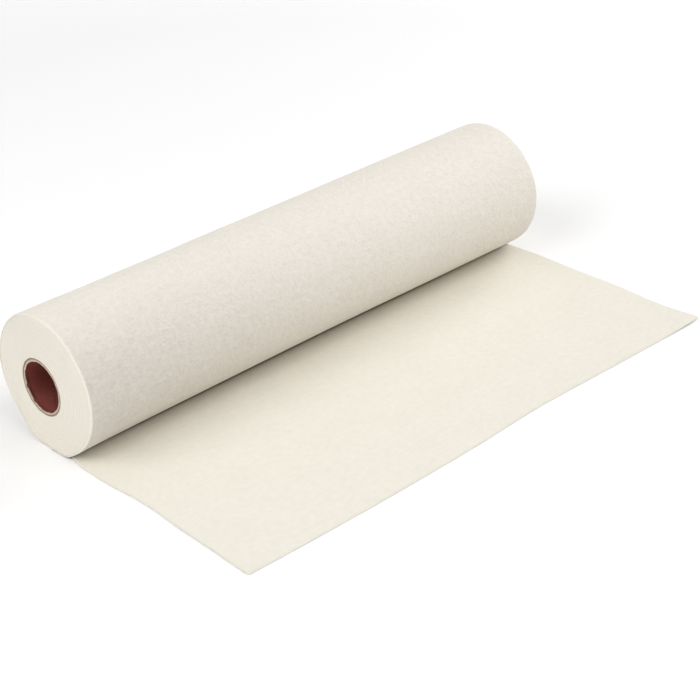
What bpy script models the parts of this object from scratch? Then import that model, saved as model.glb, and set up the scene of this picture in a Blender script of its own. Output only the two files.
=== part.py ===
"""A craft felt wound on a cardboard tube, its loose end drawn out flat in front of the roll.

Units are metres and +Z is up. The roll lies along X. Its loose end leaves from underneath and
runs towards -Y. The origin is on the surface that it lies on, below the middle of the model.
"""

import math
from collections import namedtuple

import bmesh
import bpy

# ---- Driving dimensions ----

ROLL_WIDTH = 0.450        # along the axis, the width of the cloth as it is wound
FELT_THICKNESS = 0.0015   # one layer of felt
ROLL_RADIUS = 0.0521      # to the outside of the outermost turn, straight below the axis
AXIS_HEIGHT = 0.0518      # a little less than the radius, so that the roll sits on a small flat

TUBE_OUTER_RADIUS = 0.0213
TUBE_INNER_RADIUS = 0.0191
TUBE_LENGTH = 0.4496
TUBE_BACK = 0.0044        # the tube lies this far behind the roll's axis,
TUBE_DROP = 0.0034        # and this far below it, because the turns are slacker in front and on top
CLEARANCE = 0.0003        # between the innermost turn and the tube

CREASE_GAP = 0.0005       # height of the crease at its tip, between the roll and its loose end
CORNER_LIFT = 0.0022      # how far the far front corner stands off the surface
CORNER_REACH = 0.050      # how far from that corner the lift begins

# The cut edges of the loose end. reach is the distance in front of the roll's axis, and out
# is how far the edge stands beyond the end of the roll there.
SideRow = namedtuple("SideRow", "reach out")
NEAR_SIDE = [
    SideRow(reach=0.009, out=0.0000),
    SideRow(reach=0.052, out=0.0010),
    SideRow(reach=0.100, out=-0.0009),
    SideRow(reach=0.140, out=0.0013),
    SideRow(reach=0.175, out=0.0027),
    SideRow(reach=0.210, out=0.0041),
]
FAR_SIDE = [
    SideRow(reach=0.009, out=0.0000),
    SideRow(reach=0.045, out=0.0040),
    SideRow(reach=0.090, out=0.0035),
    SideRow(reach=0.133, out=0.0036),
    SideRow(reach=0.175, out=0.0012),
    SideRow(reach=0.214, out=0.0012),
]

# across is 0 at the near end of the roll and 1 at the far end.
FrontRow = namedtuple("FrontRow", "across reach")
FRONT = [
    FrontRow(across=0.00, reach=0.2072),
    FrontRow(across=0.12, reach=0.2090),
    FrontRow(across=0.28, reach=0.2104),
    FrontRow(across=0.45, reach=0.2102),
    FrontRow(across=0.61, reach=0.2082),
    FrontRow(across=0.78, reach=0.2105),
    FrontRow(across=1.00, reach=0.2132),
]

# How far the roll is out of round, at angles in degrees from straight below through the back:
# beside its near end, and along the rest. The bottom is flat, the lower back is pressed in and
# the front stands out.
ShapeRow = namedtuple("ShapeRow", "angle out")
NEAR_SHAPE = [
    ShapeRow(angle=0, out=0.0),
    ShapeRow(angle=10, out=0.0008),
    ShapeRow(angle=16, out=0.0020),
    ShapeRow(angle=20, out=0.0025),
    ShapeRow(angle=25, out=0.0016),
    ShapeRow(angle=32, out=0.0),
    ShapeRow(angle=40, out=-0.0017),
    ShapeRow(angle=49, out=-0.0024),
    ShapeRow(angle=60, out=-0.0019),
    ShapeRow(angle=70, out=-0.0012),
    ShapeRow(angle=80, out=-0.0005),
    ShapeRow(angle=90, out=-0.0001),
    ShapeRow(angle=104, out=-0.0003),
    ShapeRow(angle=125, out=-0.0002),
    ShapeRow(angle=150, out=0.0001),
    ShapeRow(angle=190, out=0.0005),
    ShapeRow(angle=215, out=0.0009),
    ShapeRow(angle=240, out=0.0013),
    ShapeRow(angle=265, out=0.0014),
    ShapeRow(angle=285, out=0.0011),
    ShapeRow(angle=305, out=0.0007),
    ShapeRow(angle=320, out=0.0008),
    ShapeRow(angle=331, out=0.0014),
    ShapeRow(angle=340, out=0.0023),
    ShapeRow(angle=345, out=0.0019),
    ShapeRow(angle=350, out=0.0008),
    ShapeRow(angle=360, out=0.0),
]
FAR_SHAPE = [
    ShapeRow(angle=0, out=0.0),
    ShapeRow(angle=10, out=0.0003),
    ShapeRow(angle=20, out=0.0008),
    ShapeRow(angle=32, out=0.0001),
    ShapeRow(angle=48, out=-0.0007),
    ShapeRow(angle=68, out=-0.0005),
    ShapeRow(angle=90, out=0.0),
    ShapeRow(angle=140, out=0.0),
    ShapeRow(angle=200, out=0.0),
    ShapeRow(angle=230, out=0.0004),
    ShapeRow(angle=250, out=0.0009),
    ShapeRow(angle=268, out=0.0010),
    ShapeRow(angle=285, out=0.0008),
    ShapeRow(angle=305, out=0.0003),
    ShapeRow(angle=320, out=0.0002),
    ShapeRow(angle=335, out=0.0006),
    ShapeRow(angle=345, out=0.0005),
    ShapeRow(angle=360, out=0.0),
]
SHAPE_REACH = 0.045       # how soon the shape of the near end dies away along the roll

# ---- Fineness of the meshes ----

ROLL_STEPS = 108
LOOSE_STEPS = 14
STATIONS = 21
TUBE_SIDES = 72

# ---- Colours: red, green, blue in linear light, then roughness ----

FELT_COLOUR = (0.80, 0.75, 0.66)
FELT_ROUGHNESS = 0.95
TUBE_COLOUR = (0.22, 0.10, 0.08)
TUBE_ROUGHNESS = 0.80

# ---- Sizes worked out from them ----

# The roll's radius falls by one layer in a turn, so its back is a quarter of a layer nearer.
BACK_REACH = ROLL_RADIUS - FELT_THICKNESS / 4
AXIS_Y = (max(row.reach for row in FRONT) - BACK_REACH) / 2
TUBE_Y = AXIS_Y + TUBE_BACK
TUBE_Z = AXIS_HEIGHT - TUBE_DROP


def read(rows, at):
    """The table's second column at a value of its first: a smooth curve through the rows."""
    last = len(rows) - 2
    i = sum(row[0] <= at for row in rows) - 1
    i = min(max(i, 0), last)
    (x0, y0), (x1, y1) = rows[i], rows[i + 1]
    before, after = rows[max(i - 1, 0)], rows[min(i + 2, last + 1)]
    slope0 = (y1 - before[1]) / (x1 - before[0])
    slope1 = (after[1] - y0) / (after[0] - x0)
    step = x1 - x0
    t = min(max((at - x0) / step, 0.0), 1.0)
    return (
        y0 * (1 + 2 * t) * (1 - t) ** 2
        + slope0 * step * t * (1 - t) ** 2
        + y1 * t * t * (3 - 2 * t)
        - slope1 * step * t * t * (1 - t)
    )


def roll_radius(across, turned):
    """The radius falls evenly by one layer in a turn, and the roll is a little out of round.
    turned is the angle from straight below the axis, going up the back and over the top."""
    degrees = math.degrees(turned) % 360
    near = math.exp(-across * ROLL_WIDTH / SHAPE_REACH)
    shape = read(NEAR_SHAPE, degrees) * near + read(FAR_SHAPE, degrees) * (1 - near)
    return ROLL_RADIUS - FELT_THICKNESS * turned / (2 * math.pi) + shape


def on_roll(across, turned):
    """A point of the outermost turn. Before straight below, it lies on the surface."""
    radius = roll_radius(across, turned)
    height = AXIS_HEIGHT - radius * math.cos(turned)
    if turned < 0:
        height = 0.0
    x = ROLL_WIDTH * (across - 0.5)
    return (x, AXIS_Y + radius * math.sin(turned), max(height, 0.0))


def crease_angle(across):
    """How far short of a full turn the outermost turn is when it reaches the crease, where it
    is one layer and the crease's gap above the surface. Found by halving."""
    low, high = 0.0, math.radians(40)
    for _ in range(40):
        angle = (low + high) / 2
        height = on_roll(across, 2 * math.pi - angle)[2]
        if height < FELT_THICKNESS + CREASE_GAP:
            low = angle
        else:
            high = angle
    return high


def on_bore(across, turned):
    """A point of the hole through the wound felt, at the same angle."""
    radius = TUBE_OUTER_RADIUS + CLEARANCE
    x = ROLL_WIDTH * (across - 0.5)
    return (x, TUBE_Y + radius * math.sin(turned), TUBE_Z - radius * math.cos(turned))


def on_loose_end(across, along, height, crease_reach):
    """A point of the loose end. along is 0 at the crease and 1 at the front edge, and height
    is measured up from the underside of the cloth."""
    reach = crease_reach + (read(FRONT, across) - crease_reach) * along
    near = -ROLL_WIDTH / 2 - read(NEAR_SIDE, reach)
    far = ROLL_WIDTH / 2 + read(FAR_SIDE, reach)
    x = near + (far - near) * across
    corner_distance = math.hypot(far - x, FRONT[-1].reach - reach)
    lift = CORNER_LIFT * max(0.0, 1 - corner_distance / CORNER_REACH) ** 2
    return (x, AXIS_Y - reach, lift + height)


def felt_section(across):
    """One section across the felt: the outside of the roll, the crease, the loose end and the
    bore. All sections have the same points in the same order."""
    start = -crease_angle(across)
    end = 2 * math.pi + start
    turns = [start + (end - start) * k / ROLL_STEPS for k in range(ROLL_STEPS + 1)]
    steps = [j / LOOSE_STEPS for j in range(LOOSE_STEPS + 1)]
    roll = [on_roll(across, turned) for turned in turns]
    reach = AXIS_Y - roll[-1][1]
    roll[0] = (roll[0][0], AXIS_Y - reach, 0.0)
    return {
        "roll": roll,
        "top": [on_loose_end(across, along, FELT_THICKNESS, reach) for along in steps],
        "under": [on_loose_end(across, along, 0.0, reach) for along in steps[1:]],
        "bore": [on_bore(across, turned) for turned in turns[:-1]],
    }


def station_places():
    """Where the sections stand across the cloth, from 0 to 1, closer together at both ends."""
    spread = [k / (STATIONS - 1) for k in range(STATIONS)]
    return [0.55 * s + 0.45 * (1 - math.cos(math.pi * s)) / 2 for s in spread]


def close_end(bm, section):
    """Fill one end of the felt: the ring between the bore and the roll, then the cut side of
    the loose end."""
    roll, top, under, bore = (section[name] for name in ("roll", "top", "under", "bore"))
    ring = bore + [bore[0]]
    for k in range(ROLL_STEPS):
        bm.faces.new((roll[k], roll[k + 1], ring[k + 1], ring[k]))
    bm.faces.new((roll[-1], top[0], bore[0]))
    bm.faces.new((top[0], roll[0], bore[0]))
    low = [roll[0]] + under
    for j in range(LOOSE_STEPS):
        bm.faces.new((top[j], top[j + 1], low[j + 1], low[j]))


def new_object(name, bm, colour, roughness):
    """Turn a bmesh into a named object with a material of its own."""
    bmesh.ops.recalc_face_normals(bm, faces=bm.faces)
    mesh = bpy.data.meshes.new(name)
    bm.to_mesh(mesh)
    bm.free()
    mesh.shade_smooth()
    mesh.set_sharp_from_angle(angle=math.radians(35))
    material = bpy.data.materials.new(name)
    material.use_nodes = True
    shader = material.node_tree.nodes["Principled BSDF"]
    shader.inputs["Base Color"].default_value = (*colour, 1.0)
    shader.inputs["Roughness"].default_value = roughness
    shader.inputs["Metallic"].default_value = 0.0
    mesh.materials.append(material)
    made = bpy.data.objects.new(name, mesh)
    bpy.context.scene.collection.objects.link(made)
    return made


def make_felt():
    """The felt is one piece of cloth, so its wound turns and its loose end are one solid. It is
    made of sections across the cloth, joined in order, with both ends filled."""
    bm = bmesh.new()
    sections = [
        {name: [bm.verts.new(point) for point in points] for name, points in section.items()}
        for section in map(felt_section, station_places())
    ]
    for one, two in zip(sections, sections[1:]):
        outlines = [
            (s["roll"] + s["top"] + s["under"][::-1], s["bore"]) for s in (one, two)
        ]
        for loop, next_loop in zip(*outlines):
            for k in range(len(loop)):
                m = (k + 1) % len(loop)
                bm.faces.new((loop[k], loop[m], next_loop[m], next_loop[k]))
    close_end(bm, sections[0])
    close_end(bm, sections[-1])
    return new_object("felt", bm, FELT_COLOUR, FELT_ROUGHNESS)


def make_core_tube():
    """The cardboard tube: four rings, outer and inner at each end, joined into a wall."""
    bm = bmesh.new()
    half = TUBE_LENGTH / 2
    rings = []
    for x, radius in (
        (-half, TUBE_OUTER_RADIUS),
        (half, TUBE_OUTER_RADIUS),
        (half, TUBE_INNER_RADIUS),
        (-half, TUBE_INNER_RADIUS),
    ):
        angles = [2 * math.pi * k / TUBE_SIDES for k in range(TUBE_SIDES)]
        rings.append([
            bm.verts.new((x, TUBE_Y + radius * math.sin(a), TUBE_Z - radius * math.cos(a)))
            for a in angles
        ])
    for ring, following in zip(rings, rings[1:] + rings[:1]):
        for k in range(TUBE_SIDES):
            m = (k + 1) % TUBE_SIDES
            bm.faces.new((ring[k], ring[m], following[m], following[k]))
    return new_object("core_tube", bm, TUBE_COLOUR, TUBE_ROUGHNESS)


def main():
    for old in list(bpy.data.objects):
        bpy.data.objects.remove(old, do_unlink=True)
    make_felt()
    make_core_tube()


main()
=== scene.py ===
# %% [markdown]
# # A roll of cream craft felt
#
# Needled felt is sold wound on a cardboard tube. This lesson builds one roll with its loose end
# drawn out flat from underneath. The cloth is made as it is in life: one sheet, 5 m long and
# about 1.5 mm thick, which lies flat for 21 cm, goes under the roll, and then winds inwards
# turn after turn until it meets the tube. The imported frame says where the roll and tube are.

# %% Load the frame
import math

import bpy
import numpy as np
from mathutils import Matrix, Vector


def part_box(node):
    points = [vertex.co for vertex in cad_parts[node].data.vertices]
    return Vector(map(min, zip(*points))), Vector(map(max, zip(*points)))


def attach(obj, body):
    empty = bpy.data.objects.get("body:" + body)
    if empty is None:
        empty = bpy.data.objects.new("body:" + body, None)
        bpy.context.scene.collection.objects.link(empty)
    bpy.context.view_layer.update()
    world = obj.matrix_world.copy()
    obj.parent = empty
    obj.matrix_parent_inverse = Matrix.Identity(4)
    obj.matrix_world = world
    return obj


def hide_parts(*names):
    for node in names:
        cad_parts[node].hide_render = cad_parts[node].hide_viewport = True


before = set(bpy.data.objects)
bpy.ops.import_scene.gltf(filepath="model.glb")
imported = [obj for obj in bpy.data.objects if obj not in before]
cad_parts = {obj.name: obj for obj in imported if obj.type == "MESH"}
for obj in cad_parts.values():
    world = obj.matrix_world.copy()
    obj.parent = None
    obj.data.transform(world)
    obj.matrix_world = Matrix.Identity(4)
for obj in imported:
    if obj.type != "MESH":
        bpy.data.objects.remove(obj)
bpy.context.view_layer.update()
felt_low, felt_high = (np.array(corner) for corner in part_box("felt"))
tube_low, tube_high = (np.array(corner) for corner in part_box("core_tube"))

# %% [markdown]
# ## Sizes
#
# Everything is placed from the two boxes of the frame. The roll has settled a little on the
# surface, so its axis is lower than its radius. Its radius falls by one layer in each turn, so
# the back stands a quarter of a layer nearer the axis than the bottom, and the top half a layer.
# The number of turns is the wound length divided by the way round the middle turn.

# %% Sizes worked out from the frame
MM = 0.001
LAYER = 1.5 * MM  # the cloth where it lies free
SETTLED = 0.3 * MM  # how far the roll has sunk onto its small flat
CLOTH_LENGTH = 5.0
CLOTH_WIDTH = 0.454
DRAWN_OUT = 0.2103  # from below the roll's axis to the front edge, on average

TOP_SWELLS = 0.4 * MM  # how much taller the roll is at its near end
ROLL_RADIUS = (felt_high[2] - TOP_SWELLS + SETTLED + LAYER / 2) / 2
AXIS_Z = ROLL_RADIUS - SETTLED
AXIS_Y = felt_high[1] - (ROLL_RADIUS - LAYER / 4)
TUBE_RADIUS = (tube_high[2] - tube_low[2]) / 2
TUBE_Y, TUBE_Z = (tube_low[1:] + tube_high[1:]) / 2
TUBE_END = tube_high[0]
ROLL_END = TUBE_END + 0.2 * MM

TUBE_SLACK = 0.2 * MM  # between the tube and the innermost turn
THIN_END = 0.3 * MM  # the hidden end of the cloth, pressed thin on the tube
PLY_GAP = 0.02 * MM  # between one turn and the next
INNER_RADIUS = TUBE_RADIUS + TUBE_SLACK + THIN_END
TURNS = (CLOTH_LENGTH - DRAWN_OUT) / (math.pi * (ROLL_RADIUS + INNER_RADIUS - LAYER))
PITCH = (ROLL_RADIUS - INNER_RADIUS) / TURNS
FULL = 2 * math.pi
WOUND = FULL * TURNS
print(f"roll radius {ROLL_RADIUS:.4f}, {TURNS:.2f} turns, {PITCH / MM:.3f} mm from turn to turn")

# %% [markdown]
# ## The camera
#
# The camera looks down from the near left, through a long lens. Its place is an angle round the
# object, an angle above the surface and a distance from a point on the object. It leans by two
# degrees, as a camera held in the hand does.

# %% Camera
AIM = Vector((-0.0489, -0.0342, 0.050))
AZIMUTH, ELEVATION, LEAN = (math.radians(angle) for angle in (-43.50, 29.18, -1.94))
DISTANCE = 1.2462
LENS = 92.4  # in millimetres, and so is the sensor
SENSOR = 36.0
SEES_AS_FAR_AS = 20.0


def away_at(azimuth, elevation):
    """The unit vector that points away from the roll at these angles, in radians."""
    level = math.cos(elevation)
    return Vector((math.sin(azimuth) * level, -math.cos(azimuth) * level, math.sin(elevation)))


def add_camera():
    """Back is the unit vector from the aim to the camera. Right is level before the camera
    leans, and the lean turns right and up about back."""
    back = away_at(AZIMUTH, ELEVATION)
    level = Vector((math.cos(AZIMUTH), math.sin(AZIMUTH), 0.0))
    right = level * math.cos(LEAN) + back.cross(level) * math.sin(LEAN)
    turned = Matrix((right, back.cross(right), back)).transposed()
    camera = bpy.data.objects.new("camera", bpy.data.cameras.new("camera"))
    bpy.context.scene.collection.objects.link(camera)
    camera.matrix_world = Matrix.Translation(AIM + back * DISTANCE) @ turned.to_4x4()
    camera.data.lens = LENS
    camera.data.sensor_width = SENSOR
    camera.data.clip_end = SEES_AS_FAR_AS
    bpy.context.scene.camera = camera
    return camera


camera = add_camera()
print("camera at", [round(v, 3) for v in camera.location])

# %% [markdown]
# ## Helpers for shapes
#
# Cloth that has been handled is never quite straight. A few sine waves with seeded phases give
# a slow drift that is the same on each run. The edges of the loose end and the roll's outline are
# read from short tables, with a smooth curve through their rows. A mesh is put together from
# arrays of points and of polygons.

# %% Drift, curves through rows, meshes
def drift(at, seed, longest, shortest, waves=9):
    """A slow random wave with values mostly between -1 and 1: the mean of sines, with lengths
    from longest to shortest and random phases, times the square root of their number."""
    rng = np.random.default_rng(seed)
    lengths = np.geomspace(longest, shortest, waves)
    phases = rng.uniform(0, FULL, waves)
    at = np.asarray(at, float)[..., None]
    return np.sin(FULL * at / lengths + phases).mean(-1) * math.sqrt(waves)


def through(rows, at):
    """The second column at values of the first: cubics that meet with the same slope."""
    xs, ys = np.array(rows, float).T
    slopes = np.gradient(ys, xs)
    i = np.clip(np.searchsorted(xs, at, side="right") - 1, 0, len(xs) - 2)
    step = xs[i + 1] - xs[i]
    t = np.clip((at - xs[i]) / step, 0, 1)
    rise = slopes[i] * step * t * (1 - t) ** 2 - slopes[i + 1] * step * t * t * (1 - t)
    return ys[i] * (1 + 2 * t) * (1 - t) ** 2 + ys[i + 1] * t * t * (3 - 2 * t) + rise


def in_mm(rows):
    """Rows whose second column was given in millimetres."""
    return [(at, out * MM) for at, out in rows]


def ease(low, high, at):
    """0 below low, 1 above high, and a smooth step between them."""
    t = np.clip((at - low) / (high - low), 0, 1)
    return t * t * (3 - 2 * t)


def piece(name, points, polygons, smooth=True):
    """A mesh object at the origin, from an array of points and a list of arrays of polygons,
    each array with one row of point numbers for a polygon."""
    mesh = bpy.data.meshes.new(name)
    sizes = np.concatenate([np.full(len(p), p.shape[1]) for p in polygons])
    corners = np.concatenate([p.ravel() for p in polygons])
    mesh.vertices.add(len(points))
    mesh.vertices.foreach_set("co", np.asarray(points, np.float32).ravel())
    mesh.loops.add(len(corners))
    mesh.loops.foreach_set("vertex_index", corners.astype(np.int32))
    mesh.polygons.add(len(sizes))
    mesh.polygons.foreach_set("loop_start", (np.cumsum(sizes) - sizes).astype(np.int32))
    mesh.update(calc_edges=True)
    mesh.validate()
    if smooth:
        mesh.shade_smooth()
    made = bpy.data.objects.new(name, mesh)
    bpy.context.scene.collection.objects.link(made)
    return made


def volume(points, polygons):
    """The signed volume inside a closed mesh, from cones of its polygons cut into fans."""
    total = 0.0
    for group in polygons:
        first = points[group[:, 0]]
        for k in range(1, group.shape[1] - 1):
            total += (first * np.cross(points[group[:, k]], points[group[:, k + 1]])).sum() / 6
    return total


def vertex_values(made, name, values):
    """Keep one number for each point on the mesh, for the materials to read."""
    layer = made.data.attributes.new(name, "FLOAT", "POINT")
    layer.data.foreach_set("value", np.asarray(values, np.float32))


print("drift at 0, 1 and 2:", np.round(drift(np.arange(3.0), 1, 2.0, 0.5), 3))

# %% [markdown]
# ## The felt: one sheet, drawn out and wound
#
# The sheet has two faces, and each is a surface of two parameters. One says how far across the
# cloth a point is. The other says how far along the cloth it is: first the share of the loose
# end, from 1 at the front edge to 0 below the axis, and then the angle wound, which starts
# straight below the axis, goes up the back and over the top, and reaches 2 pi at the crease.
# It could be made by cloth simulation, but winding 21 turns of it would be slow and unsure,
# while the spiral is exact. The turns are slacker in front and on top, so the tube lies low
# and to the back: the middle of each turn moves evenly from the roll's axis to the tube's.

# %% The edges of the loose end
# Each row is the distance in front of the roll's axis, and how many millimetres beyond the
# roll's end the cut edge is there.
NEAR_EDGE = in_mm([
    (0.000, 0.0), (0.006, -0.5), (0.014, -1.7), (0.020, -1.9), (0.030, 0.1), (0.050, 1.0),
    (0.100, -0.9), (0.140, 1.3), (0.175, 2.7), (0.210, 4.1),
])
FAR_EDGE = in_mm([
    (0.000, 0.9), (0.045, 4.0), (0.090, 3.5), (0.133, 3.6), (0.175, 1.2), (0.214, 1.2),
])
# Each row is a place across the cloth, 0 at the near end of the roll and 1 at the far end, and
# how far in front of the axis the front edge is there.
FRONT_EDGE = [
    (0.00, 0.2072), (0.12, 0.2090), (0.28, 0.2104), (0.45, 0.2102),
    (0.61, 0.2082), (0.78, 0.2105), (1.00, 0.2132),
]
print("front edge", round(float(AXIS_Y - through(FRONT_EDGE, 0.5)), 4), "m; CAD", felt_low[1])

# %% [markdown]
# A roll that has been stored and handled isn't round. A lattice could bend it, but a table of
# small steps off the circle bends every turn alike and shrinks towards the stiff tube.

# %% The outline of the roll
# Each row is an angle in degrees, from straight below through the back, and how many
# millimetres the roll stands out of round there: beside its near end, and along the rest. The
# bottom is flat, the lower back is pressed in and the front stands out.
NEAR_SHAPE = in_mm([
    (0, 0.0), (10, 0.8), (16, 2.0), (20, 2.5), (25, 1.6), (32, 0.0), (40, -1.7), (49, -2.4),
    (60, -1.9), (70, -1.2), (80, -0.5), (90, -0.1), (104, -0.3), (125, -0.2), (150, 0.1),
    (190, 0.5), (215, 0.9), (240, 1.3), (265, 1.4), (285, 1.1), (305, 0.7), (320, 0.8),
    (331, 1.4), (340, 2.3), (345, 1.9), (350, 0.8), (360, 0.0),
])
FAR_SHAPE = in_mm([
    (0, 0.0), (10, 0.3), (20, 0.8), (32, 0.1), (48, -0.7), (68, -0.5), (90, 0.0), (140, 0.0),
    (200, 0.0), (230, 0.4), (250, 0.9), (268, 1.0), (285, 0.8), (305, 0.3), (320, 0.2),
    (335, 0.6), (345, 0.5), (360, 0.0),
])
# The lower front is drawn in along the middle of the roll. Each row is a place across the cloth,
# and how many millimetres the lower front stands out there.
LOW_FRONT = in_mm([(0.0, -0.3), (0.25, -0.6), (0.55, -0.9), (0.8, 0.0), (1.0, 0.5)])
LOW_FRONT_FROM = (285, 312)  # degrees over which the lower front begins
LOW_FRONT_TO = (326, 342)  # and those over which it ends
SHAPE_REACH = 0.045  # how soon the shape of the near end dies away along the roll
print("out of round by up to", round(max(out for _, out in NEAR_SHAPE) / MM, 1), "mm")

# %% [markdown]
# Now both faces of the turns. The inner face of each is the outer face of the turn inside it, so
# the turns can't cut through each other, however the outline is bent.

# %% The faces of the wound turns
LIP = 0.7 * MM  # how far the outermost turn flares out at its near edge
LIP_REACH = 5.0 * MM  # how soon the flare dies away
LIP_INSIDE = 0.3  # the share of the flare that parts the turn from the next one
ROUNDED = 0.8 * MM  # how far the outer face of its edges curves in
ROUNDED_REACH = 1.6 * MM  # over this last bit of the cloth
WAVER = 0.13 * MM  # the height of the slow hollows and swellings of the roll


def middle(turned):
    """The middle of a turn: from the roll's axis to the tube's, in step with the angle."""
    share = np.clip(turned / WOUND, 0, 1)
    return AXIS_Y + (TUBE_Y - AXIS_Y) * share, AXIS_Z + (TUBE_Z - AXIS_Z) * share


def waver(across, turned):
    """Slow hollows and swellings of the wound cloth. They are nothing underneath, where the
    roll rests, the same from one turn to the next, and less towards the tube."""
    around = 0.5 - 0.5 * np.cos(turned)
    along = drift(across * ROLL_END * 2, 11, 0.30, 0.07)
    round_it = np.sin(turned + 1.1 + 2.5 * drift(across, 12, 1.2, 0.6, 3))
    return WAVER * (along + 0.8 * round_it) * around * (1 - turned / WOUND)


def out_of_round(across, turned):
    """The two shapes above, mixed by the distance from the near end. It is less towards the
    tube, in step with the angle wound."""
    degrees = np.degrees(turned % FULL)
    near = np.exp(-across * CLOTH_WIDTH / SHAPE_REACH)
    shape = through(NEAR_SHAPE, degrees) * near + through(FAR_SHAPE, degrees) * (1 - near)
    low_front = ease(*LOW_FRONT_FROM, degrees) * (1 - ease(*LOW_FRONT_TO, degrees))
    shape = shape + through(LOW_FRONT, across) * low_front
    return shape * (1 - turned / WOUND)


def lip(across, turned):
    """The flare of the outermost turn's near edge, on the top and the front of the roll."""
    flare = LIP * np.exp(-across * CLOTH_WIDTH / LIP_REACH)
    around = ease(0.30 * FULL, 0.55 * FULL, turned) * (1 - ease(0.82 * FULL, 0.97 * FULL, turned))
    return flare * around


def rounded(across, turned):
    """The soft edges of the outermost turn: the square of how near the edge is."""
    from_edge = np.minimum(across, 1 - across) * CLOTH_WIDTH
    curve = ROUNDED * np.maximum(0, 1 - from_edge / ROUNDED_REACH) ** 2
    return curve * ease(0.1 * FULL, 0.3 * FULL, turned) * ease(1.0 * FULL, 0.9 * FULL, turned)


def outside(across, turned):
    """The outer face: a spiral whose radius falls by one pitch in a turn, a little out of
    round, and cut off level where the roll rests."""
    y, z = middle(turned)
    radius = ROLL_RADIUS - PITCH * turned / FULL + waver(across, turned)
    radius = radius + out_of_round(across, turned) + lip(across, turned)
    radius = radius - rounded(across, turned)
    return y + radius * np.sin(turned), np.maximum(z - radius * np.cos(turned), 0.0)


def inside(across, turned):
    """The inner face: the outer face one turn further in, a hair's breadth away. The last turn
    lies on the tube."""
    y, z = outside(across, np.minimum(turned + FULL, WOUND))
    away = PLY_GAP + lip(across, turned) * LIP_INSIDE
    y, z = y + away * np.sin(turned), z - away * np.cos(turned)
    last = ease(WOUND - FULL - 0.4, WOUND - FULL, turned)
    rest = TUBE_RADIUS + TUBE_SLACK
    tube_y, tube_z = TUBE_Y + rest * np.sin(turned), TUBE_Z - rest * np.cos(turned)
    return y + (tube_y - y) * last, z + (tube_z - z) * last


print("top of the roll", np.round(outside(0.5, np.pi)[1], 4), "m; CAD", felt_high[2])

# %% [markdown]
# The cut edges of the loose end follow their tables, and its two front corners are a little
# round. The turns on the roll were wound by machine, so their edges lie in line to within a
# tenth of a millimetre or so, and show as fine rings at both ends.

# %% The cut edges
CORNER_ROUND = 2.0 * MM  # the radius of both front corners
OUT_OF_LINE = 0.06 * MM  # how far the edge of a turn is in or out of line
PROUD = 0.35 * MM  # how far the outermost turn stands out at the near end


def cloth_ends(across, share):
    """Where the near and the far cut edges of the loose end are."""
    front = through(FRONT_EDGE, across)
    reach = front * share
    to_front = np.clip((front - reach) / CORNER_ROUND, 0, 1)
    round_off = CORNER_ROUND * (1 - np.sqrt(1 - (1 - to_front) ** 2))
    near = ROLL_END + through(NEAR_EDGE, reach) - round_off
    return -near, ROLL_END + through(FAR_EDGE, reach) - round_off


def turn_ends(turned):
    """Where the cut edges of the wound turns are: each turn a little in or out of line, the
    outermost a shade proud at the near end."""
    settle = ease(0, 1.5, turned)
    proud = PROUD * (1 - ease(0.9 * FULL, 1.1 * FULL, turned))
    near = OUT_OF_LINE * drift(turned, 31, 9 * FULL, 0.6 * FULL, 12) + proud
    far = OUT_OF_LINE * drift(turned, 32, 9 * FULL, 0.6 * FULL, 12)
    first = FAR_EDGE[0][1] * (1 - ease(0, 0.8 * FULL, turned))
    return -ROLL_END - near * settle, ROLL_END + far * settle + first


print("cut ends of the first turn", np.round(turn_ends(np.pi), 4))

# %% [markdown]
# The loose end lies on the surface, but not dead flat. One corner stands off a little, one long
# low ridge is left from the winding, and the roll presses the cloth thinner at the crease.

# %% The faces of the loose end
CORNER_LIFT = 2.2 * MM  # how high the far front corner stands off the surface
CORNER_REACH = 0.050  # and from how far in it begins to rise
PRESSED_REACH = 0.03  # the roll presses on the cloth up to here
PRESS_SOFT = 0.15 * MM  # how softly the pressed part gives way to the full thickness
GUESSES = 4  # at the angle where the roll's face is straight above a place
RIDGE_HEIGHT = 0.5 * MM
RIDGE_AT = (-0.140, 0.098)  # x and distance in front of the axis
RIDGE_SLOPE = 0.10
RIDGE_WIDTH = 0.008
RIDGE_MIDDLE, RIDGE_LENGTH = -0.135, 0.050
SWELLING = 0.25 * MM  # the slow drift in height all over the loose end


def loose(across, share):
    """Both faces of the loose end: y, the height of the underside and that of the top. The
    top is one layer up, or lower where the roll presses on it. One corner stands off the
    surface by the square of how near it is, and soft ridges cross the cloth."""
    reach = through(FRONT_EDGE, across) * share
    near, far = cloth_ends(across, share)
    x = near + (far - near) * across
    to_corner = np.hypot(far - x, FRONT_EDGE[-1][1] - reach)
    under = CORNER_LIFT * np.maximum(0, 1 - to_corner / CORNER_REACH) ** 2
    under = under + ridges(x, reach)
    angle = FULL - np.arcsin(np.minimum(reach / (ROLL_RADIUS - PITCH), 1))
    for _ in range(GUESSES):
        roll_y, roll_z = outside(across, angle)
        radius = (AXIS_Y - roll_y) / np.maximum(np.sin(FULL - angle), 1e-6)
        angle = FULL - np.arcsin(np.minimum(reach / np.maximum(radius, 0.04), 1))
    roll_y, roll_z = outside(across, angle)
    pressed = roll_z - PLY_GAP
    layer = -PRESS_SOFT * np.logaddexp(-LAYER / PRESS_SOFT, -pressed / PRESS_SOFT)
    return AXIS_Y - reach, under, under + np.where(reach < PRESSED_REACH, layer, LAYER)


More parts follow.
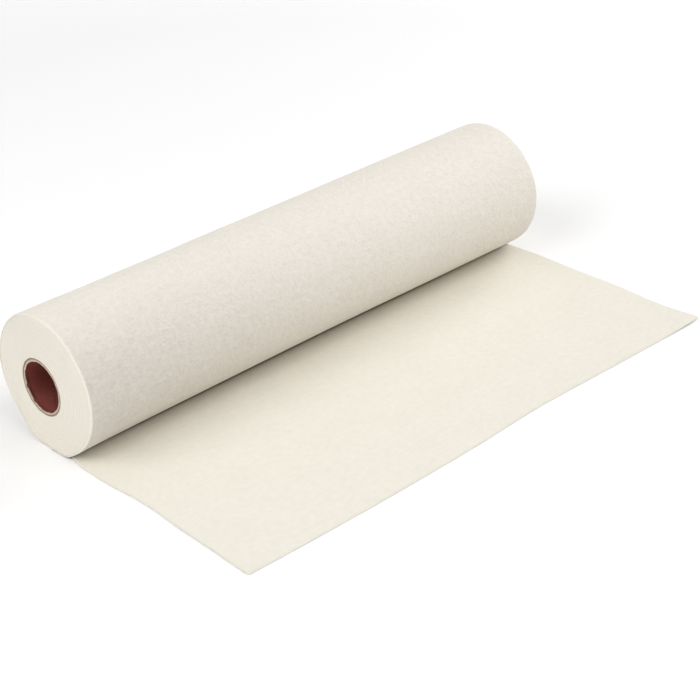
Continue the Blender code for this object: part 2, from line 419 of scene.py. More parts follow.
def ridges(x, reach):
    """Low swellings where the cloth has not settled flat: one long ridge, a bell curve of the
    distance from a sloping line, and a slow drift. The drift is gone near the roll and at the
    cut edges."""
    off = np.abs((reach - RIDGE_AT[1]) - RIDGE_SLOPE * (x - RIDGE_AT[0]))
    ridge = RIDGE_HEIGHT * np.exp(-(off / RIDGE_WIDTH) ** 2)
    ridge = ridge * np.exp(-((x - RIDGE_MIDDLE) / RIDGE_LENGTH) ** 2)
    slow = SWELLING * (1 + drift(x + 0.6 * reach, 21, 0.24, 0.09) * 0.8)
    slow = slow * ease(0.035, 0.085, reach) * ease(0.214, 0.185, reach)
    return ridge + slow * ease(0.229, 0.200, np.abs(x))


print("loose end's height at its middle", np.round(loose(0.5, 0.5)[2] / MM, 2), "mm")

# %% [markdown]
# A section across the cloth is a closed loop: its inner face from the near edge to the far
# edge, the far cut edge, the outer face back, and the near cut edge. Rows of such loops make a
# tube that is nearly flat, closed at both ends of the cloth. The loose end and the outermost
# turn have many columns, for their drift and their edges. The turns inside show only their cut
# edges, so five columns do, and the row where the two meet has polygons with more corners. A
# Bevel modifier would soften all cut edges alike, while only the loose end's are worn round.

# %% Rows and columns of the sheet
EDGE_AT = np.array([0.0, 0.13, 0.36, 0.64, 0.87, 1.0])  # shares of the thickness, from the top
# How far in the cut edge is at those shares, on the turns and on the loose end.
WOUND_EDGE = np.array([0.07, 0.02, 0.0, 0.0, 0.02, 0.07]) * MM
LOOSE_EDGE = np.array([1.15, 0.85, 0.50, 0.20, 0.04, 0.04]) * MM
ROUGH_CUT = 0.035 * MM  # how rough the blade left it
FRONT_REACH = 2.2 * MM  # how far in from the front edge the top begins to round off
FRONT_DROP = 1.25 * MM  # and how much lower it is at the edge
FRONT_RISE = 0.1 * MM  # and how much higher the underside is there
CUT_POINTS = len(EDGE_AT) - 2
FINE_END = FULL + 0.9  # the angle wound at which the many columns end
ROWS_A_TURN = 96  # of the turns inside


def columns():
    """Places across the cloth, from 0 to 1: close together at both cut edges."""
    edge = np.array([0.0, 0.0006, 0.0013, 0.0022, 0.0040, 0.009])
    middle_part = np.linspace(0.016, 0.984, 66)
    return np.concatenate([edge, middle_part, 1 - edge[::-1]])


def section_rows(across, near, far, inner, outer, edge_in, seed):
    """Points of the loops, as rows by places round the loop by x, y and z. inner and outer
    are pairs of arrays, y and z of the two faces at the columns. edge_in has one row for each
    loop: how far in the cut edge is at the shares of the thickness."""
    rows = near.shape[0]
    in_top, in_low = edge_in[:, :1], edge_in[:, -1:]
    top = np.stack([near + in_top + (far - near - 2 * in_top) * across, *inner], -1)
    low = np.stack([near + in_low + (far - near - 2 * in_low) * across, *outer], -1)
    rng = np.random.default_rng(seed)
    rough = rng.normal(0, ROUGH_CUT, (2, rows, CUT_POINTS))
    cuts = []
    for side, (end, inwards) in enumerate(((far, -1), (near, 1))):
        a, b = (top[:, -1], low[:, -1]) if side == 0 else (low[:, 0], top[:, 0])
        at = EDGE_AT[1:-1, None]
        cut = a[:, None] * (1 - at) + b[:, None] * at
        bevel = edge_in[:, 1:-1] if side == 0 else edge_in[:, -2:0:-1]
        cut[..., 0] = end[:, :1] + inwards * bevel + rough[side]
        cuts.append(cut)
    return np.concatenate([top, cuts[0], low[:, ::-1], cuts[1]], 1)


def make_rows(across, shares, turned, seed):
    """The loops of the loose end at some shares, then those of the wound turns at some angles."""
    u = across[None, :]
    parts = []
    if len(shares):
        s = shares[:, None]
        y, under, over = loose(u, s)
        to_front = through(FRONT_EDGE, u) * (1 - s)
        round_off = np.maximum(0, 1 - to_front / FRONT_REACH) ** 2
        near, far = cloth_ends(u, s)
        y = np.broadcast_to(y, under.shape)
        edge_in = WOUND_EDGE + (LOOSE_EDGE - WOUND_EDGE) * ease(0.0, 0.06, s)
        top, low = (y, over - FRONT_DROP * round_off), (y, under + FRONT_RISE * round_off)
        parts.append(section_rows(u, near[:, :1], far[:, -1:], top, low, edge_in, seed))
    if len(turned):
        w = turned[:, None]
        near, far = turn_ends(w)
        faces = [
            tuple(np.broadcast_to(v, (len(turned), len(across))) for v in face(u, w))
            for face in (inside, outside)
        ]
        edge_in = np.repeat(WOUND_EDGE[None], len(turned), 0)
        parts.append(section_rows(u, near, far, *faces, edge_in, seed + 1))
    return np.concatenate(parts)


fine = columns()
FEW = np.array([0, 4, len(fine) // 2, len(fine) - 5, len(fine) - 1])
few = fine[FEW]
shares = np.concatenate([
    [1.0, 0.9987, 0.9967, 0.994, 0.989], np.linspace(0.980, 0.135, 50),
    np.linspace(0.125, 0.055, 17), np.linspace(0.045, 0.0, 5),
])
outer_turns = np.linspace(0, FINE_END, 120)[1:]
inner_turns = np.linspace(FINE_END, WOUND, round((WOUND - FINE_END) / FULL * ROWS_A_TURN))[1:]
fine_rows = make_rows(fine, shares, outer_turns, 41)
few_rows = make_rows(few, shares[:0], inner_turns, 43)
print("fine part", fine_rows.shape[:2], "inner turns", few_rows.shape[:2])

# %% [markdown]
# Loops that follow each other are joined by quads. An end of the cloth is closed by quads from
# its top to its underside, so no pole or open hole is left.

# %% Faces of the sheet
def strip(first, second):
    """Quads between two loops, or rows of loops, of point numbers."""
    one, two = np.roll(first, -1, -1), np.roll(second, -1, -1)
    return np.stack([first, one, two, second], -1).reshape(-1, 4)


def cap(loop, wide, flip):
    """An end of the cloth: quads between its two faces, and a polygon at each cut edge."""
    top = loop[:wide]
    low = loop[wide + CUT_POINTS:2 * wide + CUT_POINTS][::-1]
    quads = np.stack([top[:-1], low[:-1], low[1:], top[1:]], -1)
    far = np.concatenate([loop[wide - 1:wide + CUT_POINTS + 1]])[None]
    near = np.concatenate([loop[2 * wide + CUT_POINTS - 1:], loop[:1]])[None]
    return [g[:, ::-1] if flip else g for g in (quads, far, near)]


def meeting(fine_loop, few_loop):
    """Polygons between a loop of many points and one of few: each has one side on the loop of
    few and as many as lie opposite on the other."""
    wide = len(fine)
    kept = np.concatenate([
        FEW,
        wide + np.arange(CUT_POINTS),
        wide + CUT_POINTS + (wide - 1 - FEW[::-1]),
        2 * wide + CUT_POINTS + np.arange(CUT_POINTS),
    ])
    around = np.append(kept, kept[0] + len(fine_loop))
    out = []
    for k in range(len(kept)):
        span = np.arange(around[k], around[k + 1] + 1) % len(fine_loop)
        pair = few_loop[[(k + 1) % len(kept), k]]
        out.append(np.concatenate([fine_loop[span], pair])[None])
    return out


print("quads between two loops of 4:", strip(np.arange(4), np.arange(4, 8)).tolist())

# %% [markdown]
# The finish has to know which part of the cloth it is on. These numbers are kept at the points
# of the mesh, because no pattern in space could tell one turn's face from the next. The edge of
# the outermost turn is pale, partly its own colour and partly a painted highlight. The front of
# the roll is greyed by painted shade, most at the near end, and a darker painted shade lies in
# the crease.

# %% Numbers for the finish
RIM_REACH = 0.6 * MM
PAINTED_FRONT_SHADE = 0.85  # the most that the painted shade greys the front of the roll
PAINTED_SHADE_ALONG = (-0.27, 0.12)  # x over which that fades out
PAINTED_SHADE_TURN = (0.48 * FULL, 0.70 * FULL)
# where the darker painted shade of the crease lies, round the roll and in front of the axis
CREASE_TURN = (0.935 * FULL, 0.955 * FULL)
CREASE_REACH = (0.0187, 0.0209)  # in front of the axis
CREASE_FOLLOWS = 1.5  # times the lower front's step is how far the crease moves
LESS_CREASE_SHADE = 0.7  # the painted crease shade is this much less at the far end
LESS_CREASE_SHADE_ALONG = (0.08, 0.21)


def on_cuts(wide):
    """1 at the places round a loop that lie on its cut edges, and 0 at the others."""
    loop = np.zeros(2 * (wide + CUT_POINTS))
    loop[wide:wide + CUT_POINTS] = 1
    loop[2 * wide + CUT_POINTS:] = 1
    return loop


def rim_values(count, many):
    """1 on the outermost turn's cut edges and on the last millimetre of its outer face."""
    wide = len(fine)
    values = np.zeros(count)
    turn = np.concatenate([np.zeros(len(shares)), outer_turns])
    on_turn = ease(0.15 * FULL, 0.3 * FULL, turn) * ease(1.02 * FULL, 0.98 * FULL, turn)
    near_edge = np.clip(1.5 - fine * CLOTH_WIDTH / RIM_REACH, 0, 1)
    loop = on_cuts(wide)
    loop[wide + CUT_POINTS:2 * wide + CUT_POINTS] = np.maximum(near_edge, near_edge[::-1])
    values[many] = on_turn[:, None] * loop
    return values


def painted_shade_values(points, many):
    """How much painted shade greys the front of the roll, the product of a step round the roll
    and one along it. Values above 1 are for the darker painted shade in the crease."""
    values = np.zeros(len(points))
    x = points[many, 0]
    turn = np.concatenate([np.zeros(len(shares)), outer_turns])[:, None]
    reach = np.concatenate([through(FRONT_EDGE, 0.5) * shares, np.full(len(outer_turns), 1.0)])
    low_front = through(LOW_FRONT, np.clip(x / CLOTH_WIDTH + 0.5, 0, 1))
    reach = reach[:, None] - low_front * CREASE_FOLLOWS
    # painted shade on the front of the roll, fading out towards the far end
    front = ease(*PAINTED_SHADE_TURN, turn) * (1 - ease(1.02 * FULL, 1.05 * FULL, turn))
    # painted shade in the crease, less at the far end
    crease = ease(*CREASE_TURN, turn) + 1 - ease(*CREASE_REACH, reach)
    crease_shade = 2 - LESS_CREASE_SHADE * ease(*LESS_CREASE_SHADE_ALONG, x)
    values[many] = front * (1 - ease(*PAINTED_SHADE_ALONG, x)) * PAINTED_FRONT_SHADE
    values[many] = np.maximum(values[many], crease_shade * np.minimum(crease, 1))
    return values


# the strength of the painted front shade, and where the painted crease shade begins
print("greyest by", PAINTED_FRONT_SHADE, "and dust from", CREASE_REACH[0], "m in front of the axis")

# %% [markdown]
# A pattern that follows the cloth round its turns needs a map. A general unwrap would cut the
# turns into patches, while the rows already know how far along and across the cloth they are. A
# second map is for baking the finish: most of it goes to the cloth that shows, two discs hold
# the ends of the roll, and the rest is squeezed small.

# %% Maps of the sheet
OPEN, NEAR_CUT, FAR_CUT, HIDDEN, FRONT_CAP, LAST_CAP, CAP_END = range(7)
DISC_SCALE = 2.9  # from metres to shares of the bake map
DISC_MIDDLES = {NEAR_CUT: (0.16, 0.78), FAR_CUT: (0.48, 0.78)}
# The left, the bottom, the width and the height of the parts of the bake map.
BAKE_PARTS = {
    OPEN: (0.005, 0.005, 0.99, 0.585),
    HIDDEN: (0.66, 0.63, 0.33, 0.34),
    FRONT_CAP: (0.01, 0.602, 0.98, 0.008),
    LAST_CAP: (0.66, 0.98, 0.33, 0.3),
}


def lay_map(made, points, many, sparse):
    """The map named cloth, in metres: the distance round the section, and that along the
    cloth. The step from the last place round the loop to the first is the seam."""
    place = np.zeros((len(points), 2))
    start = 0.0
    lengths = []
    for rows, numbers in ((fine_rows, many), (few_rows, sparse)):
        around = np.linalg.norm(np.roll(rows, -1, 1) - rows, axis=-1)
        place[numbers[:, 1:], 0] = np.cumsum(around, 1)[:, :-1]
        centre = rows[:, rows.shape[1] // 4]
        steps = np.linalg.norm(np.diff(centre, axis=0), axis=-1)
        place[numbers, 1] = start + np.concatenate([[0.0], np.cumsum(steps)])[:, None]
        start += steps.sum()
        lengths.append(around.sum(1).max())
    mesh = made.data
    corner = np.empty(len(mesh.loops), np.int32)
    mesh.loops.foreach_get("vertex_index", corner)
    uv = place[corner]
    first = np.empty(len(mesh.polygons), np.int32)
    total = np.empty(len(mesh.polygons), np.int32)
    mesh.polygons.foreach_get("loop_start", first)
    mesh.polygons.foreach_get("loop_total", total)
    wide = np.repeat(np.maximum.reduceat(uv[:, 0], first), total)
    uv[:, 0] = np.where(wide - uv[:, 0] > max(lengths) / 2, uv[:, 0] + max(lengths), uv[:, 0])
    layer = mesh.uv_layers.new(name="cloth")
    layer.data.foreach_set("uv", uv.astype(np.float32).ravel())
    print(f"cloth {start:.2f} m long, {max(lengths) / 2:.3f} m wide")
    kinds = np.repeat(polygon_kinds(many, sparse), total)
    lay_bake_map(mesh, points[corner], corner, uv / (max(lengths), start), kinds)


def polygon_kinds(many, sparse):
    """What each polygon is, in the order they were made: open cloth, a near or a far cut edge
    of a wound turn, hidden inside the roll, or part of the front or the last cap."""
    kinds = []
    for numbers, wide, plain in ((many, len(fine), OPEN), (sparse, len(few), HIDDEN)):
        kind = np.full((numbers.shape[0] - 1, numbers.shape[1]), plain)
        wound = len(shares) if plain == OPEN else 0
        kind[wound:, wide - 1:wide + CUT_POINTS] = FAR_CUT
        kind[wound:, 2 * wide + CUT_POINTS - 1:] = NEAR_CUT
        kinds.append(kind.ravel())
    kinds.append(np.full(sparse.shape[1], HIDDEN))
    for wide, plain in ((len(fine), FRONT_CAP), (len(few), LAST_CAP)):
        kinds += [np.full(wide - 1, plain), np.full(2, CAP_END)]
    return np.concatenate(kinds)


def lay_bake_map(mesh, at, corner, share, kinds):
    """The map that the finish is baked through. A part's place is its left and bottom plus its
    width and height times two shares. A disc is y and z of the roll's end times its scale."""
    x, y, z = at.T
    across, along = share.T
    open_share = share[kinds == OPEN, 1].max()
    underside = (corner % (2 * len(fine) + 2 * CUT_POINTS) >= len(fine)).astype(float)
    x_share = x / CLOTH_WIDTH / 1.1 + 0.5
    shares_of = {
        OPEN: (across, along / open_share),
        HIDDEN: (across, (along - open_share) / (1 - open_share)),
        FRONT_CAP: (x_share, underside),
        LAST_CAP: (x_share, z - z[kinds == LAST_CAP].min()),
    }
    u = 0.1 + 0.1 * np.sign(x) + (np.abs(x) - ROLL_END) * 3   # the tiny ends of the caps
    v = 0.95 + 0.4 * z
    for kind, (left, bottom, width, height) in BAKE_PARTS.items():
        one, two = shares_of[kind]
        u = np.where(kinds == kind, left + width * one, u)
        v = np.where(kinds == kind, bottom + height * two, v)
    for kind, (disc_u, disc_v) in DISC_MIDDLES.items():
        u = np.where(kinds == kind, disc_u + (y - AXIS_Y) * DISC_SCALE, u)
        v = np.where(kinds == kind, disc_v + (z - AXIS_Z) * DISC_SCALE, v)
    layer = mesh.uv_layers.new(name="OFBake")
    layer.data.foreach_set("uv", np.stack([u, v], -1).astype(np.float32).ravel())
    print("bake map from", np.round([u.min(), v.min()], 3), "to", np.round([u.max(), v.max()], 3))


print("parts of the bake map:", len(BAKE_PARTS) + len(DISC_MIDDLES))

# %% [markdown]
# Now the sheet is put together: its points, its polygons, its numbers and its maps.

# %% Make the felt
def make_felt():
    """The closed sheet. Its numbers are cut, 1 on the cut edges of the wound turns, outer, 1 on
    the face that is outside on the roll, rim, for the pale edge with its painted highlight, and
    the amount of painted shade on the front of the roll and in the crease."""
    points = np.concatenate([fine_rows.reshape(-1, 3), few_rows.reshape(-1, 3)])
    many = np.arange(fine_rows[..., 0].size).reshape(fine_rows.shape[:2])
    sparse = many.size + np.arange(few_rows[..., 0].size).reshape(few_rows.shape[:2])
    polygons = [strip(many[:-1], many[1:]), strip(sparse[:-1], sparse[1:])]
    polygons += meeting(many[-1], sparse[0])
    polygons += cap(many[0], len(fine), False) + cap(sparse[-1], len(few), True)
    if volume(points, polygons) < 0:
        polygons = [g[:, ::-1] for g in polygons]
    print(f"felt volume {abs(volume(points, polygons)) * 1e6:.0f} cubic centimetres")
    made = piece("felt_sheet", points, polygons)
    cut, face = [], []
    for rows, wide in ((fine_rows, len(fine)), (few_rows, len(few))):
        side = np.zeros(rows.shape[1])
        side[wide + CUT_POINTS // 2:2 * wide + CUT_POINTS + CUT_POINTS // 2] = 1
        face.append(np.tile(side, rows.shape[0]))
        cut.append(np.tile(on_cuts(wide), rows.shape[0]))
    cut = np.concatenate(cut)
    cut[many[:len(shares)]] = 0
    vertex_values(made, "cut", cut)
    vertex_values(made, "outer", np.concatenate(face))
    vertex_values(made, "rim", rim_values(len(points), many))
    # the painted shade of the front of the roll and of the crease
    vertex_values(made, "painted_shade", painted_shade_values(points, many))
    lay_map(made, points, many, sparse)
    return made


felt = make_felt()
print("felt", len(felt.data.polygons), "polygons")

# %% [markdown]
# ## The core tube
#
# The tube is wound from strips of paper board laid on the slant. Its cut end is grey-beige,
# shows its plies as faint rings, and is a little rough from the knife. The strip that lines it
# is maroon, and where the knife left the tube the lining is torn into a pale burr that curls
# into the bore. A Screw or Solidify modifier could make the plain tube, but the burr, the plies
# and the slanting seam are easier as one surface of two parameters: the angle round the tube,
# and the distance along a profile that goes down the bore, over the end and back outside.

# %% Core tube
WALL = 2.2 * MM
BORE = TUBE_RADIUS - WALL
SIDES = 240  # points round the tube
PLY_ROWS = 16  # rows from the bore to the outside on each end
STRIP_WIDTH = 0.072  # the liner's width along the tube
BURR = 0.62 * MM  # how far the torn lining stands into the bore
BURR_REACH = 2.2 * MM  # and how far into the bore it goes
SEAM_STEP = 0.14 * MM  # where one strip of the lining overlaps the next
SEAM_REACH = 1.2 * MM
PLY_RINGS = 0.05 * MM  # the height of the plies on the cut end
BOARD_ROUGH = 0.02 * MM
KNIFE_WANDERS = 0.10 * MM
SEAM_DARK_REACH = 1.5 * MM
BURR_SHADE = 1.6  # how much darker the liner is in the painted shadow behind the burr
BURR_SHADE_AT = 2.1 * MM  # in from the end
BURR_SHADE_REACH = 0.9 * MM


def tube_profile():
    """Places along the profile as x, depth into the wall from 0 at the bore to 1 outside, and
    how much of the burr each has. The rows go along the bore, over the far end, back along
    the outside and over the near end."""
    bore_x = TUBE_END - np.concatenate([
        np.linspace(0, 3.6 * MM, 10), np.geomspace(4.6 * MM, TUBE_END, 34)
    ])
    bore_x = np.concatenate([-bore_x, bore_x[-2::-1]])
    burr = np.clip(1 - (TUBE_END - np.abs(bore_x)) / BURR_REACH, 0, 1) ** 1.6
    plies = np.linspace(0, 1, PLY_ROWS + 1)[1:]
    ends = np.full(PLY_ROWS, TUBE_END)
    x = np.concatenate([bore_x, ends, [0.0], -ends])
    depth = np.concatenate([np.zeros(len(bore_x)), plies, [1.0], plies[::-1]])
    torn = np.concatenate([burr, 0.6 * (1 - plies) ** 4, [0.0], 0.6 * (1 - plies[::-1]) ** 4])
    return x, depth, torn


def make_tube():
    """Radius = bore + depth times the wall - burr. The burr is larger where the liner tore,
    and the slanting seam of the liner is a fine step. The numbers kept at its points are paper,
    0 on the liner and 1 on raw board, ply, the depth in the wall, and seam, how dark the liner
    is at its seam, together with the painted shadow just behind the burr."""
    x, depth, torn = (v[:, None] for v in tube_profile())
    angle = (np.arange(SIDES) * FULL / SIDES)[None, :]
    tear = np.where(x < 0, ragged(angle, 51), ragged(angle, 52))
    seam = ((x / STRIP_WIDTH - angle / FULL) % 1.0) * STRIP_WIDTH
    inner = depth == 0
    step = np.where(inner, SEAM_STEP * np.exp(-seam / SEAM_REACH), 0)
    radius = BORE + depth * WALL - BURR * torn * tear - step * (1 - torn)
    at_end = np.abs(x) > TUBE_END - 1e-9
    face = at_end & ~inner & (depth < 1)
    ring = PLY_RINGS * np.cos(depth * 5 * FULL)
    rough = np.random.default_rng(53).normal(0, BOARD_ROUGH, radius.shape)
    knife = KNIFE_WANDERS * (drift(angle + 3 * (x < 0), 54, 3.0, 0.4) - 1)
    along = x + np.sign(x) * (np.where(face, ring + rough, 0) + knife * at_end)
    y = TUBE_Y + radius * np.sin(angle)
    z = TUBE_Z - radius * np.cos(angle)
    points = np.stack([np.broadcast_to(along, radius.shape), y, z], -1)
    count = np.arange(radius.size).reshape(radius.shape)
    after = np.roll(count, -1, 0)
    polygons = [strip(count, after)]
    flat = points.reshape(-1, 3)
    if volume(flat, polygons) < 0:
        polygons = [g[:, ::-1] for g in polygons]
    made = piece("paper_tube", flat, polygons)
    paper = np.where(inner, ease(0.10, 0.45, torn * tear), 1.0)
    from_burr = TUBE_END - np.abs(x) - BURR_SHADE_AT
    # painted shadow on the liner just behind the burr
    burr_shadow = np.exp(-(from_burr / BURR_SHADE_REACH) ** 2) * tear * BURR_SHADE
    dark = np.clip(np.exp(-seam / SEAM_DARK_REACH) + burr_shadow, 0, 1.5)
    for name, values in (("paper", paper), ("ply", depth), ("seam", np.where(inner, dark, 0))):
        vertex_values(made, name, np.broadcast_to(values, radius.shape).ravel())
    made.data.set_sharp_from_angle(angle=math.radians(40))
    return made


def ragged(angle, seed):
    """How far the torn lining stands in round the end, from 0 to about 1: a slow drift that
    says where it tore, times a quick one for its teeth. Both repeat after a full turn."""
    rng = np.random.default_rng(seed)
    slow = sum(rng.normal() * np.cos(k * angle + rng.uniform(0, FULL)) / k for k in (1, 2, 3, 4))
    quick = sum(
        rng.normal() * np.cos(k * angle + rng.uniform(0, FULL)) * (7 / k) for k in range(7, 34)
    )
    return np.clip(0.25 + 0.40 * slow + 0.13 * quick, 0, 1.2)


tube = make_tube()
print("tube", len(tube.data.polygons), "polygons")

# %% [markdown]
# ## Shader maths as expressions
#
# A small class wraps a socket, so that mask * 0.3 + 1 adds the Math nodes for it. Every other
# node comes from one method, which takes the node's type, its settings, and the values or links
# of its sockets.

# %% Shader helper
class Wire:
    """A socket of a material's node tree that takes part in Python expressions."""

    def __init__(self, finish, socket):
        self.finish = finish
        self.socket = socket

    def maths(self, operation, a, b):
        """A Math node of two values or wires."""
        return self.finish.node("ShaderNodeMath", {"operation": operation}, {0: a, 1: b})

    def __add__(self, other):
        return self.maths("ADD", self, other)

    def __sub__(self, other):
        return self.maths("SUBTRACT", self, other)

    def __rsub__(self, other):
        return self.maths("SUBTRACT", other, self)

    def __mul__(self, other):
        return self.maths("MULTIPLY", self, other)

    __radd__, __rmul__ = __add__, __mul__


class Finish:
    """A material with one Principled BSDF, built up from wires."""

    def __init__(self, name):
        self.material = bpy.data.materials.new(name)
        self.material.use_nodes = True
        self.tree = self.material.node_tree
        self.shader = self.tree.nodes["Principled BSDF"]

    def node(self, kind, settings=None, sockets=None, output=0):
        """A new node with its settings and sockets filled in, as the wire of one output."""
        made = self.tree.nodes.new(kind)
        for key, value in (settings or {}).items():
            setattr(made, key, value)
        for key, value in (sockets or {}).items():
            self.feed(made.inputs[key], value)
        return Wire(self, made.outputs[output])

    def feed(self, socket, value):
        if isinstance(value, Wire):
            self.tree.links.new(value.socket, socket)
        else:
            socket.default_value = value

    def set(self, values):
        for name, value in values.items():
            self.feed(self.shader.inputs[name], value)

    def number(self, name):
        """One of the numbers kept at the points of the mesh."""
        return self.node("ShaderNodeAttribute", {"attribute_name": name}, output=2)

    def place(self):
        """The place on the object, in metres."""
        return self.node("ShaderNodeTexCoord", output=3)

    def noise(self, vector, size, detail=2.0, rough=0.5):
        """Noise around 0.5 whose lumps are about size metres across."""
        return self.node(
            "ShaderNodeTexNoise", {"normalize": True},
            {"Vector": vector, "Scale": 0.5 / size, "Detail": detail, "Roughness": rough},
        )

    def mix(self, share, one, two):
        """Colour one where share is 0 and two where it is 1."""
        return self.node(
            "ShaderNodeMix", {"data_type": "RGBA"}, {0: share, 6: one, 7: two}, output=2
        )

    def stretch(self, vector, turn, scale):
        """The vector turned about Z by an angle and then stretched."""
        return self.node(
            "ShaderNodeMapping", {"vector_type": "POINT"},
            {"Vector": vector, "Rotation": (0, 0, turn), "Scale": scale},
        )


def colour(red, green, blue):
    """A colour given as it looks on a screen, 0 to 255, as linear light with full alpha."""
    screen = np.array([red, green, blue]) / 255
    linear = np.where(screen <= 0.04045, screen / 12.92, ((screen + 0.055) / 1.055) ** 2.4)
    return (*(float(v) for v in linear), 1.0)


print("cream", [round(v, 3) for v in colour(238, 232, 217)])

# %% [markdown]
# ## The felt's finish
#
# Needled felt is a mat of short fibres tangled by barbed needles. Close by, it is a web of fine
# hairs that lie every way. From further off it is mottled: the needles leave soft lumps of about
# 1 mm in tufts of 2 mm, a little longer across the cloth, and the mat is thicker and thinner
# over a centimetre or so. An image could give that, but noises on the cloth's own map stay sharp
# and follow the turns. They make a bump and a small change of tone. The outer face is rougher,
# the inner face smoother and a shade warmer, and the cut edges are pale. Painted shade greys the
# front of the roll, where the mottling is stronger, and a darker painted shade lies in the
# crease.
# The edge of the outermost turn is pale, partly its own colour and partly a painted highlight.
# Sheen lightens the cloth where it turns away, as loose hairs do.

# %% Felt finish
HAIR_LAYS = 5  # how many ways the fine hairs lie
LUMP, TUFT, BROAD, HAIR, GRAIN = (size * MM for size in (0.9, 2.0, 12, 0.25, 0.5))
OUTER_FACE = (colour(218, 211, 199), colour(246, 241, 233))
INNER_FACE = (colour(217, 212, 198), colour(246, 242, 231))
# the cloth's colours under painted shade
PAINTED_SHADE_COLOURS = (colour(193, 185, 175), colour(229, 223, 215))
# the painted shade of the crease
PAINTED_CREASE_SHADE = colour(158, 139, 114)
CUT_EDGE = (colour(239, 231, 217), colour(251, 246, 234))
# the outermost turn's edge: partly its own pale colour and partly a painted highlight
PALE_RIM_AND_HIGHLIGHT = colour(247, 241, 228)


def felt_finish():
    finish = Finish("felt")
    cloth = finish.node("ShaderNodeUVMap", {"uv_map": "cloth"})
    cut, outer, rim, painted_shade = (finish.number(n) for n in ("cut", "outer", "rim", "painted_shade"))
    drawn = finish.stretch(cloth, 0.0, (0.7, 1.0, 1.0))
    lumps = finish.noise(drawn, LUMP, 1.0)
    tufts = finish.noise(drawn, TUFT, 1.0)
    broad = finish.noise(cloth, BROAD, 2.0)
    hairs = 0.0
    for k in range(HAIR_LAYS):
        lie = finish.stretch(cloth, 0.3 + k * math.pi / HAIR_LAYS, (1.0, 0.12, 1.0))
        hairs = hairs + finish.noise(lie, HAIR, 1.0) * (1 / HAIR_LAYS)
    grain = finish.noise(finish.place(), GRAIN, 2.0, 0.6)
    needled = (outer * 0.75 + 0.25) * (1 - cut * 0.8)
    height = (lumps + tufts * 1.4) * needled + hairs * (outer * 0.2 + 0.1) + grain * 0.08
    bump = finish.node(
        "ShaderNodeBump", None, {"Strength": 1.0, "Distance": 0.5 * MM, "Height": height}
    )
    # stronger mottling where the painted shade is
    mottling_in_shade = painted_shade * painted_shade
    tone = (lumps - 0.5) * (outer * 0.32 + mottling_in_shade * 0.2 + 0.1)
    tone = tone + (tufts - 0.5) * (outer * 0.06 + mottling_in_shade * 0.16 + 0.3)
    tone = tone + (broad - 0.5) * 0.15 + (hairs - 0.5) * (outer * 0.1 + 0.1) + 0.5
    # painted shade greys the front of the roll and the crease, on both faces
    in_painted_shade = finish.mix(tone, *PAINTED_SHADE_COLOURS)
    shown = finish.mix(painted_shade, finish.mix(tone, *OUTER_FACE), in_painted_shade)
    back = finish.mix(painted_shade, finish.mix(tone, *INNER_FACE), in_painted_shade)
    # above 1, the darker painted shade of the crease
    shade = finish.mix(painted_shade - 1.0, finish.mix(outer, back, shown), PAINTED_CREASE_SHADE)
    # the outermost turn's edge is pale, partly its own colour and partly a painted highlight
    edge = finish.mix(rim, finish.mix(grain, *CUT_EDGE), PALE_RIM_AND_HIGHLIGHT)
    finish.set({
        "Base Color": finish.mix(cut * (1 - rim) * 0.8 + rim, shade, edge),
        "Roughness": 0.9 + (lumps - 0.5) * 0.1,
        "Normal": bump,
        "Sheen Weight": 0.25,
        "Sheen Roughness": 0.5,
        "Sheen Tint": colour(255, 250, 240),
        "Specular IOR Level": 0.2,
    })
    return finish.material


felt.data.materials.append(felt_finish())
print("felt finish has", len(felt.data.materials[0].node_tree.nodes), "nodes")

# %% [markdown]
# ## The tube's finish
#
# Two papers meet here. The cut end and the torn burr are raw board, grey-beige and fibrous with
# faint darker lines between the plies. On the cut end the board has a painted highlight near the
# bore and painted shade towards the outside, where it meets the felt. The liner is dyed maroon,
# with paler scuffs and a dark line where one strip meets the next, and painted shadow just
# behind the burr.

# %% Tube finish
BOARD = (colour(122, 103, 84), colour(212, 196, 179))
LINER = (colour(106, 48, 43), colour(168, 94, 83))
LINER_DARK = colour(58, 26, 22)
FIBRE, CLOUD = 0.5 * MM, 6 * MM


def tube_finish():
    finish = Finish("core_tube")
    body = finish.place()
    paper, ply, seam = (finish.number(n) for n in ("paper", "ply", "seam"))
    fibre = finish.noise(finish.stretch(body, 0.5, (1.0, 0.3, 0.3)), FIBRE, 3.0, 0.6)
    cloud = finish.noise(body, CLOUD, 3.0)
    ply_line = finish.node("ShaderNodeMath", {"operation": "SINE"}, {0: ply * (4 * FULL) + 1.6})
    # painted highlight near the bore and painted shade towards the outside of the cut end
    bore_highlight_and_gap_shade = finish.node("ShaderNodeMapRange", None, {0: ply, 1: 0.15, 2: 0.75, 3: 0.95, 4: 0.12})
    board = finish.mix(bore_highlight_and_gap_shade + fibre * 0.4 + ply_line * 0.08 - 0.2, *BOARD)
    maroon = finish.mix(fibre * 0.6 + cloud * 0.5, *LINER)
    # the liner is darker at its seams, and painted shadow lies just behind the burr
    lined = finish.mix(seam * 0.6, maroon, LINER_DARK)
    bump = finish.node(
        "ShaderNodeBump", None,
        {"Strength": 0.5, "Distance": 0.15 * MM, "Height": fibre + cloud * 0.5},
    )
    finish.set({
        "Base Color": finish.mix(paper, lined, board),
        "Roughness": 0.55 + paper * 0.35 + fibre * 0.05,
        "Normal": bump,
        "Specular IOR Level": 0.35,
    })
    return finish.material


tube.data.materials.append(tube_finish())
print("tube finish has", len(tube.data.materials[0].node_tree.nodes), "nodes")

# %% [markdown]
# ## Floor and light
#
# The roll lies on a plain white floor in a bright, soft studio. Large boxes of light stand in
# front, at the left and at the right, one of these low so that it grazes the mottled cloth. A
# white room all round opens up the shade. The floor fades to white towards its edge, so that no
# horizon shows.

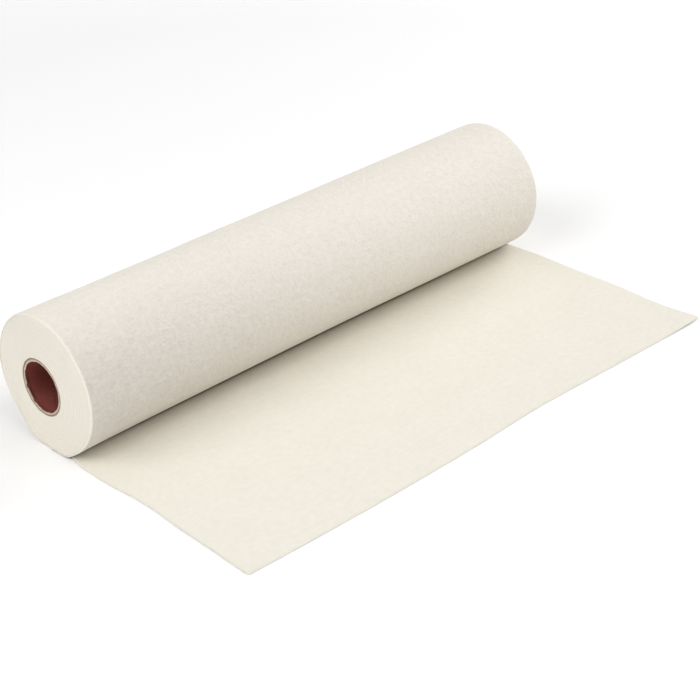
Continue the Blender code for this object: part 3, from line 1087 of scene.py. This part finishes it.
# %% Floor
FLOOR_RADIUS = 2.3
FLOOR_SIDES = 96
FLOOR_BELOW = 0.05 * MM  # so that it doesn't lie in the same plane as the cloth
GLOW = 0.02  # the floor shines a little of itself
FAR_GLOW = 0.4  # and more towards its edge
FADE = (0.8, 2.0)  # from this far out to that far


def add_floor():
    """A level disc: radius times the cosine and the sine of the angle."""
    turn = np.arange(FLOOR_SIDES) * FULL / FLOOR_SIDES
    below = np.full(FLOOR_SIDES, -FLOOR_BELOW)
    points = np.stack([FLOOR_RADIUS * np.cos(turn), FLOOR_RADIUS * np.sin(turn), below], -1)
    made = piece("floor", points, [np.arange(FLOOR_SIDES)[None]], smooth=False)
    finish = Finish("floor")
    body = finish.place()
    away = finish.node("ShaderNodeVectorMath", {"operation": "LENGTH"}, {0: body}, output=1)
    fade = finish.node("ShaderNodeMapRange", None, {0: away, 1: FADE[0], 2: FADE[1]})
    finish.set({
        "Base Color": colour(253, 253, 253),
        "Emission Color": finish.mix(fade, (GLOW,) * 3 + (1.0,), (FAR_GLOW,) * 3 + (1.0,)),
        "Emission Strength": 1.0,
        "Roughness": 0.8,
        "Specular IOR Level": 0.1,
    })
    made.data.materials.append(finish.material)
    return made


floor = add_floor()
print("floor", round(floor.dimensions.x, 1), "m across")

# %% Lights
SOFTBOX_AWAY = 3.0
SOFTBOX_SIZE = 2.0
ROOM_LIGHT = 0.31  # how strongly the room lights the roll
ROOM_SEEN = 1.0  # and how bright it looks
SOFTBOXES = [  # name, azimuth and elevation in degrees, watts
    ("front", 0, 55, 34),
    ("left", -95, 40, 41),
    ("behind_left", -130, 40, 4),
    ("right", 90, 35, 17),
    ("right_low", 90, 12, 43),
]


def add_softbox(name, azimuth, elevation, watts):
    """A square area light that faces the middle of the roll, placed by angles as the camera."""
    away = away_at(math.radians(azimuth), math.radians(elevation))
    data = bpy.data.lights.new(name, "AREA")
    data.shape = "SQUARE"
    data.size = SOFTBOX_SIZE
    data.energy = watts
    light = bpy.data.objects.new(name, data)
    bpy.context.scene.collection.objects.link(light)
    light.location = away * SOFTBOX_AWAY
    light.rotation_euler = away.to_track_quat("Z", "Y").to_euler()
    return light


def add_room():
    """A white room beyond the floor. It looks brighter than it lights."""
    world = bpy.data.worlds.new("room")
    bpy.context.scene.world = world
    world.use_nodes = True
    tree = world.node_tree
    seen = tree.nodes.new("ShaderNodeLightPath")
    strength = tree.nodes.new("ShaderNodeMapRange")
    strength.inputs["To Min"].default_value = ROOM_LIGHT
    strength.inputs["To Max"].default_value = ROOM_SEEN
    tree.links.new(seen.outputs["Is Camera Ray"], strength.inputs["Value"])
    tree.links.new(strength.outputs["Result"], tree.nodes["Background"].inputs["Strength"])
    tree.nodes["Background"].inputs["Color"].default_value = (1.0, 1.0, 1.0, 1.0)
    return world


add_room()
for softbox in SOFTBOXES:
    add_softbox(*softbox)
bpy.context.scene.view_settings.view_transform = "Standard"

# %% [markdown]
# ## Hand the pieces over
#
# Each piece rides on the body, stands for its CAD node and takes its material slot.

# %% Hand over
for made, node in ((felt, "felt"), (tube, "core_tube")):
    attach(made, "root")
    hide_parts(node)
